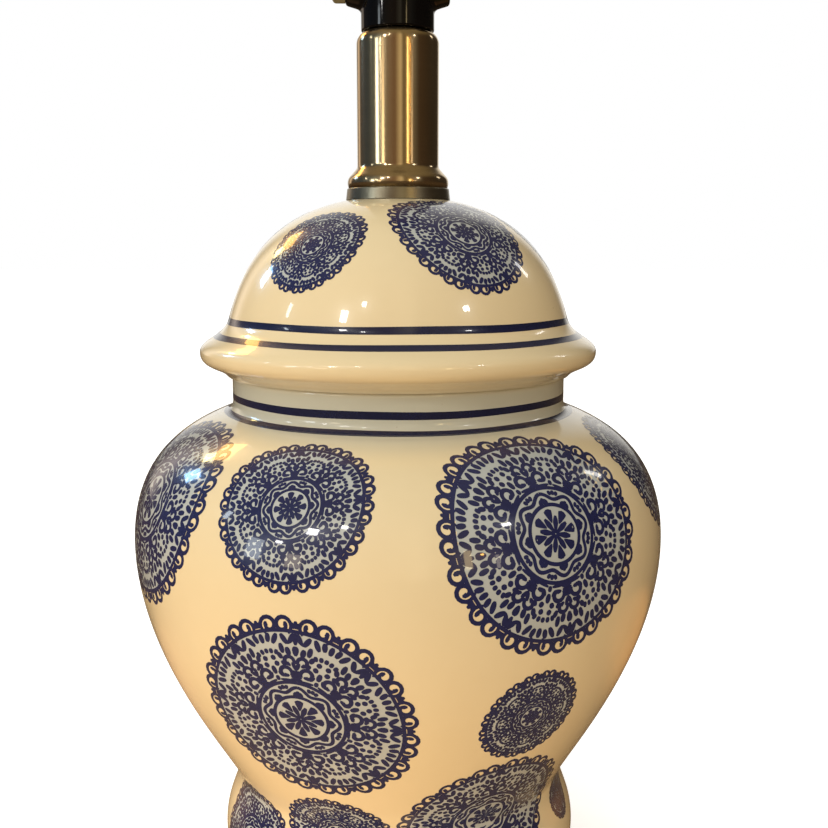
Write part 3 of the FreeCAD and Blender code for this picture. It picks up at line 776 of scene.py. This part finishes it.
lid = turned("lid_glazed", lid_section, lid_glaze)
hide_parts("jar_lid")
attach(lid, "lamp")

blue_line("lid_line_upper", lid_outline, 232.95, 2.7)
blue_line("lid_line_lower", lid_outline, 227.35, 3.15)

lid_medallions = [
    (-34.6, 64.0, 19.6, 84.0),
    (30.6, 70.3, 26.3, 117.0),
    (98.0, 66.0, 23.0, 95.0),
    (158.0, 68.0, 24.5, 75.0),
    (-108.0, 67.0, 24.0, 102.0),
]
for number, (facing, middle, radius, turn) in enumerate(lid_medallions, start=1):
    medallion(f"lid_medallion_{number}", lid_outline, facing, middle, radius, turn)

# --------------------
# Brass neck: a spun seat plate on the lid, and on it a 32 mm tube with a spun bead at its foot and a
# rounded shoulder under the lampholder. Both are dulled by an antique finish, with fine lathe lines.

brass_deep = (0.50, 0.37, 0.20, 1)
brass_pale = (0.72, 0.56, 0.34, 1)
# patina and painted shade: the brass turns dark brown in the groove over the seat plate, where the bead meets
# the plate and shade falls
patina_and_shade_brown = (0.300, 0.220, 0.110, 1)
plate_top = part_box("neck_tube")[0].z
patina_and_shade_fade = (plate_top + 0.0016, plate_top + 0.0002)       # it gathers in the groove over the seat plate
brass_roughness = (0.15, 0.22)
lathe_share = 0.35
lathe_size = 0.45
lathe_depth = 0.003
lathe_stretch = (0.03, 0.03, 1.0)

neck_brass, brass_tree, brass_shader = new_material("antique_brass_tube", Metallic=1.0, Anisotropic=0.7,
                                                    Anisotropic_Rotation=0.25)
brass_place = object_place(brass_tree)
brass_lathe = noise(brass_tree, brass_place, lathe_size, stretch=lathe_stretch)
brass_drift = noise(brass_tree, brass_place, 16.0, detail=5.0)
brass_tone = mix_colours(brass_tree, lathe_share, brass_drift, brass_lathe)
brass_clean = mix_colours(brass_tree, brass_tone, brass_deep, brass_pale)
# patina and painted shade darken the groove over the seat plate
groove_patina_and_shade = height_mask(brass_tree, brass_place, *patina_and_shade_fade)
feed(brass_tree, brass_shader, mix_colours(brass_tree, groove_patina_and_shade, brass_clean, patina_and_shade_brown),
     spread(brass_tree, brass_lathe, *brass_roughness), bump(brass_tree, brass_lathe, lathe_depth))
brass_tangent = add_node(brass_tree, "Tangent", direction_type="RADIAL", axis="Z")
connect(brass_tree, brass_shader, {"Tangent": brass_tangent.outputs["Tangent"]})
dress("neck_tube", neck_brass)

plate_brass = metal_material("antique_brass_plate", (0.25, 0.22, 0.155, 1), (0.39, 0.35, 0.255, 1),
                             (0.24, 0.38), 9.0, (0.05, 0.05, 1.0), 0.5, 0.004)
dress("seat_plate", plate_brass)

# --------------------
# Lampholder body: the cap, the skirted shell and the shade ring are moulded in black phenolic, which comes
# out of the mould glossy, with a faint flow in it and fine scratches from handling.

flow_size = 12.0
flow_depth = 0.02
wear_size = 0.7
wear_stretch = (1.0, 1.0, 0.2)


def phenolic(name, colour, streak, roughness, coat=0.0):
    """A glossy moulded thermoset with slow flow marks."""
    material, tree, shader = new_material(name, Coat_Weight=coat, Coat_Roughness=0.05,
                                          Specular_IOR_Level=0.3)
    place = object_place(tree)
    flow = noise(tree, place, flow_size)
    wear = noise(tree, place, wear_size, 4.0, wear_stretch)
    feed(tree, shader, mix_colours(tree, flow, colour, streak), spread(tree, wear, *roughness),
         bump(tree, flow, flow_depth))
    return material


cap_black = phenolic("black_phenolic_cap", (0.0012, 0.0011, 0.0012, 1), (0.004, 0.0035, 0.0035, 1),
                     (0.03, 0.07))
shell_black = phenolic("black_phenolic_shell", (0.003, 0.003, 0.003, 1), (0.008, 0.007, 0.007, 1),
                       (0.06, 0.14))
dress("lampholder_cap", cap_black)
dress("lampholder_shell", shell_black)
dress("shade_ring", shell_black)

# --------------------
# Skirt thread: the low, rounded ridge that winds up the skirt for the shade ring. It's moulded in one with
# the shell, starts just above the ring at rest and dies out under the rim.


def coiled(name, radius, profile, climb, turns, sides, centre, material, swell=None, sharp_degrees=50.0):
    """A ridge or wire wound round an upright axis at centre, all in millimetres. The profile is a closed
    loop of steps out and up. climb gives the height after a number of turns, and swell the profile's size."""
    stops = np.linspace(0.0, turns, int(turns * sides) + 1)
    sizes = np.ones(len(stops)) if swell is None else swell(stops)
    places = []
    for stop, height, size in zip(stops, climb(stops), sizes):
        way = np.array([math.sin(2 * math.pi * stop), -math.cos(2 * math.pi * stop)])
        for outward, upward in profile:
            level = np.array(centre) + way * (radius + outward * size)
            places.append((level[0] / 1000, level[1] / 1000, (height + upward * size) / 1000))
    count = len(profile)
    faces = band_faces(len(stops), count)
    faces += [tuple(range(count))[::-1], tuple(range((len(stops) - 1) * count, len(stops) * count))]
    made = make_object(name, places, faces, [material])
    made.data.set_sharp_from_angle(angle=math.radians(sharp_degrees))
    return made


skirt_radius = 13.9
skirt_pitch = 2.5
ridge_above_ring = 1.4
ridge_below_rim = 2.2
ridge_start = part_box("shade_ring")[1].z * 1000 + ridge_above_ring
ridge_turns = (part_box("lampholder_shell")[1].z * 1000 - ridge_below_rim - ridge_start) / skirt_pitch
ridge_half = [(-0.30, -0.62), (0.04, -0.52), (0.15, -0.28)]
ridge_profile = ridge_half + [(0.19, 0.0)] + [(outward, -upward) for outward, upward in ridge_half[::-1]]
ridge_fade = 0.25             # of a turn, over which it dies out at each end
ridge_least = 0.15


def ridge_height(turn):
    """How high the ridge is after a number of turns."""
    return ridge_start + turn * skirt_pitch


def ridge_swell(turn):
    """The ridge's share of its full size there."""
    return np.clip(np.minimum(turn, ridge_turns - turn) / ridge_fade, ridge_least, 1.0)


skirt_thread = coiled("skirt_thread", skirt_radius, ridge_profile, ridge_height, ridge_turns, 72,
                      (0.0, 0.0), shell_black, ridge_swell)
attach(skirt_thread, "lamp")

# --------------------
# Switch: a push bar through the cap, with a waist that carries the bridge of brass contacts between two
# sprung blades. The bar's ends are olive-brown, dulled by fingers.

bar_brown = phenolic("olive_brown_bar", (0.165, 0.150, 0.085, 1), (0.215, 0.200, 0.120, 1), (0.3, 0.5), 0.15)
dress("switch_bar", bar_brown)

contact_brass = metal_material("bright_brass", (0.62, 0.46, 0.20, 1), (0.83, 0.66, 0.36, 1), (0.2, 0.34),
                               4.0, (1.0, 1.0, 0.1), 0.5, 0.006)
for name in ("switch_bridge", "switch_blades", "contact_plunger_front", "contact_plunger_rear",
             "terminal_front", "terminal_rear"):
    dress(name, contact_brass)

# --------------------
# Contacts: a ceramic insulator between the cap and the shell carries two sprung brass plungers, which press
# on the lamp's cap, and the terminals for the flex.

steatite_grain = (0.8, 5.0)
steatite = plain_material("steatite", (0.60, 0.57, 0.50, 1), (0.74, 0.71, 0.64, 1), (0.5, 0.7),
                          steatite_grain, steatite_grain, 0.02, Specular_IOR_Level=0.4)
dress("lampholder_core", steatite)

spring_steel = metal_material("spring_steel", (0.40, 0.40, 0.41, 1), (0.62, 0.62, 0.62, 1), (0.2, 0.35), 3.0,
                              (1.0, 1.0, 4.0), 0.8, 0.05)
spring_wire = 0.5
spring_centre_radius = 1.65
spring_turns = 7.0
wire_angles = [step * math.pi / 5 for step in range(10)]
wire_round = [(math.cos(angle) * spring_wire / 2, math.sin(angle) * spring_wire / 2)
              for angle in wire_angles]
coil_stops = [0, 1, spring_turns - 1, spring_turns]
flat_turn = spring_wire * 1.02                # the first and the last turn lie flat on the next one
for side, joint in (("front", "front_plunger_press"), ("rear", "rear_plunger_press")):
    foot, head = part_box(f"contact_spring_{side}")
    length = (head.z - foot.z) * 1000
    rise = length - spring_wire
    coil_heights = np.array([0, flat_turn, rise - flat_turn, rise]) + foot.z * 1000 + spring_wire / 2
    coil = coiled(f"contact_coil_{side}", spring_centre_radius, wire_round,
                  lambda turn: np.interp(turn, coil_stops, coil_heights), spring_turns, 32,
                  (0.0, (foot.y + head.y) * 500), spring_steel)
    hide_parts(f"contact_spring_{side}")
    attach(coil, "lamp")
    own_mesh(coil)

# --------------------
# Studio: a plain pale floor and white surroundings, with soft daylight from high on the left, and small
# lamps whose mirror images draw the form of glaze, brass and black moulding.


def seen_directly(tree):
    """Masks of the rays from the camera, and of those from a mirror image or through glass."""
    rays = add_node(tree, "LightPath").outputs
    mirror = calculate(tree, "MAXIMUM", rays["Is Glossy Ray"], rays["Is Transmission Ray"])
    return rays["Is Camera Ray"], mirror


floor_reach = 12.0
floor_material, floor_tree, floor_shader = new_material("pale_floor", Roughness=0.9, Specular_IOR_Level=0.0)
floor_camera, floor_mirror = seen_directly(floor_tree)


def floor_patch(x, y, inner, outer):
    """A mask of the floor round a place, from 1 at the inner distance in metres to 0 at the outer one."""
    ends = {0: object_place(floor_tree), 1: (x, y, 0.0)}
    away = add_node(floor_tree, "VectorMath", ends, operation="DISTANCE").outputs["Value"]
    return smooth_mask(floor_tree, away, outer, inner)


# the camera sees the pale floor, mirrors see a darker floor painted for them, and all other light comes from
# a warm one; parts of the floor also glow, painted light that stands in for lamps
pale_floor = (0.90, 0.90, 0.90, 1)
pale_shine = (0.60, 0.60, 0.60, 1)
warm_floor = (0.70, 0.54, 0.37, 1)
mirrored_floor_near = (0.22, 0.15, 0.085, 1)
mirrored_floor_far = (0.075, 0.050, 0.032, 1)
# the faint glow of the floor outside the painted patches
faint_floor_glow = (0.02, 0.014, 0.008, 1)
# painted reflection: mirrors see the floor darker than it is, and darker still behind the lamp
mirrored_floor = mix_colours(floor_tree, floor_patch(0.0, -0.10, 0.17, 0.36), mirrored_floor_far, mirrored_floor_near)
floor_tones = mix_colours(floor_tree, floor_mirror, warm_floor, mirrored_floor)
# painted light: a warm pool of light glows on the floor left of the lamp and lights the jar from below
painted_floor_glow = mix_colours(floor_tree, floor_patch(-0.22, -0.08, 0.12, 0.42), faint_floor_glow, (1.20, 0.84, 0.52, 1))
# painted reflections: two glowing floor patches, seen only in mirrors, put orange reflections on the jar's
# lower left and right edges
painted_reflection_left = mix_colours(floor_tree, floor_patch(-0.20, 0.10, 0.03, 0.12), faint_floor_glow, (0.36, 0.20, 0.10, 1))
painted_reflection_sides = mix_colours(floor_tree, floor_patch(0.27, 0.12, 0.06, 0.15), painted_reflection_left, (0.50, 0.22, 0.06, 1))
painted_floor_light = mix_colours(floor_tree, floor_mirror, painted_floor_glow, painted_reflection_sides)
connect(floor_tree, floor_shader, {
    "Base Color": mix_colours(floor_tree, floor_camera, floor_tones, pale_floor),
    "Emission Color": mix_colours(floor_tree, floor_camera, painted_floor_light, pale_shine),
    "Emission Strength": 1.0,
})
floor = make_object("floor", [(-floor_reach, -floor_reach, 0), (floor_reach, -floor_reach, 0),
                              (floor_reach, floor_reach, 0), (-floor_reach, floor_reach, 0)],
                    [(0, 1, 2, 3)], [floor_material])

world = bpy.data.worlds.new("studio")
bpy.context.scene.world = world
world.use_nodes = True
air = world.node_tree
camera_ray, mirror_ray = seen_directly(air)
air_direction = add_node(air, "TexCoord").outputs["Generated"]


def direction(azimuth, elevation):
    """The way from the lamp to a place round it: degrees from the front towards +X, and degrees up."""
    turn, lift = math.radians(azimuth), math.radians(elevation)
    return np.array([math.cos(lift) * math.sin(turn), -math.cos(lift) * math.cos(turn), math.sin(lift)])


def sky_lobe(azimuth, elevation, low, high, dark, bright):
    """A patch of sky, whose colour goes from dark to bright between two cosines of the angle from it."""
    ways = {0: air_direction, 1: tuple(direction(azimuth, elevation))}
    facing = add_node(air, "VectorMath", ways, operation="DOT_PRODUCT").outputs["Value"]
    return mix_colours(air, smooth_mask(air, facing, low, high), dark, bright)


# What mirrors show all round: degrees from the front and the colour there. Behind the lamp, where the
# camera sees it, this is the white background too, and elsewhere it's the room.
mirror_bands = [
    (-180, (1.00, 1.00, 1.00)), (-161, (1.00, 0.98, 0.93)), (-151, (0.08, 0.05, 0.03)),
    (-139, (1.10, 0.92, 0.75)), (-129, (0.08, 0.07, 0.07)), (-98, (0.05, 0.07, 0.10)),
    (-74, (0.06, 0.08, 0.10)), (-58, (0.20, 0.24, 0.26)), (-45, (0.16, 0.16, 0.15)),
    (-33, (0.22, 0.17, 0.11)), (-20, (0.24, 0.16, 0.10)), (-6, (0.22, 0.13, 0.07)), (9, (0.86, 0.72, 0.46)),
    (16, (0.18, 0.13, 0.07)), (27, (0.28, 0.21, 0.10)), (39, (0.26, 0.21, 0.15)), (50, (0.13, 0.11, 0.08)),
    (63, (0.070, 0.046, 0.028)), (110, (0.036, 0.028, 0.020)), (148, (0.05, 0.04, 0.03)),
    (161, (1.00, 0.96, 0.88)), (180, (1.00, 1.00, 1.00)),
]
ceiling_from = 0.45           # the upward share of a direction at which the ceiling sets in
ceiling_tone = (0.26, 0.21, 0.12, 1)


def mirror_colours():
    """The bands as one ramp round the vertical axis, under the ceiling's plain tone."""
    parts = add_node(air, "SeparateXYZ", {"Vector": air_direction}).outputs
    front = calculate(air, "MULTIPLY", parts["Y"], -1.0)
    azimuth = calculate(air, "ARCTAN2", parts["X"], front)
    share = add_node(air, "MapRange", {"Value": azimuth, "From Min": -math.pi, "From Max": math.pi})
    ramp = add_node(air, "ValToRGB", {"Fac": share.outputs["Result"]})
    stops = ramp.color_ramp.elements
    while len(stops) < len(mirror_bands):
        stops.new(1.0)
    for stop, (degrees, colour) in zip(stops, mirror_bands):
        stop.position = (degrees + 180) / 360
        stop.color = (*colour, 1)
    ceiling = smooth_mask(air, parts["Z"], ceiling_from, 1.0)
    return mix_colours(air, ceiling, ramp.outputs["Color"], ceiling_tone)


room_dim = (0.138, 0.102, 0.063, 1)
sky_bright = (1.22, 1.22, 1.17, 1)
daylight = sky_lobe(-48, 39, -0.25, 1.0, room_dim, sky_bright)
surroundings = mix_colours(air, mirror_ray, daylight, mirror_colours())
white_air = (1, 1, 1, 1)
connect(air, air.nodes["Background"], {"Color": mix_colours(air, camera_ray, surroundings, white_air)})


def panel(name, azimuth, elevation, width, height, brightness, colour):
    """A rectangular lamp, in metres, that faces the middle of the jar."""
    lamp = bpy.data.lights.new(name, "AREA")
    lamp.shape = "RECTANGLE"
    lamp.size = width
    lamp.size_y = height
    lamp.energy = brightness * math.pi * width * height
    lamp.color = colour
    holder = bpy.data.objects.new(name, lamp)
    holder.location = tuple(jar_middle + panel_distance * direction(azimuth, elevation))
    holder.rotation_euler = (math.radians(90 - elevation), 0, math.radians(azimuth))
    bpy.context.scene.collection.objects.link(holder)


jar_middle = np.array([0.0, 0.0, 0.2])
panel_distance = 2.2
white = (1.0, 0.98, 0.95)
cool = (0.86, 0.95, 1.0)
blue = (0.36, 0.62, 1.0)
orange = (1.0, 0.50, 0.10)
yellow = (1.0, 0.80, 0.30)
amber = (1.0, 0.75, 0.37)
cream = (1.0, 0.84, 0.62)
pale_cream = (1.0, 0.86, 0.70)
panel("window_left", -37, 29, 0.17, 0.20, 34, white)
panel("lamp_front_left", -24, 36, 0.10, 0.10, 45, white)
panel("window_right", 50, 31, 0.15, 0.10, 34, white)
panel("low_left", -49, 17, 0.11, 0.08, 34, white)
panel("lamp_amber", 34, 12, 0.05, 0.05, 45, orange)
panel("lamp_side_orange", -136, 36, 0.46, 0.26, 9, orange)
panel("lamp_side_yellow", -132, 31, 0.22, 0.14, 20, yellow)
panel("window_side", -120, 25, 0.26, 0.30, 14, blue)
panel("strip_side", -80, 24, 0.10, 0.22, 12, cool)
panel("lamp_right", 119, 30, 0.12, 0.30, 7, white)
panel("strip_cool", -59, 9.5, 0.28, 0.50, 6.2, cool)
panel("strip_cream_left", -41, 6, 0.26, 0.34, 4.6, cream)
panel("strip_amber", 28, 9.5, 0.12, 0.50, 7.0, amber)
panel("strip_cream_right", 40, 6, 0.06, 0.34, 4.6, pale_cream)

# --------------------
# Camera: a lens of about 46 mm, 42 cm in front of the lamp's axis. It stands a little above the jar's lid
# and is tilted down by 9 degrees.

camera_place = (0.00624, -0.42038, 0.26064)
camera_tilt = 81.0
camera_data = bpy.data.cameras.new("camera")
camera_data.sensor_width = 36.0
camera_data.lens = 45.652
camera = bpy.data.objects.new("camera", camera_data)
camera.location = camera_place
camera.rotation_euler = (math.radians(camera_tilt), 0, 0)
bpy.context.scene.collection.objects.link(camera)
bpy.context.scene.camera = camera
bpy.context.scene.view_settings.view_transform = "Standard"
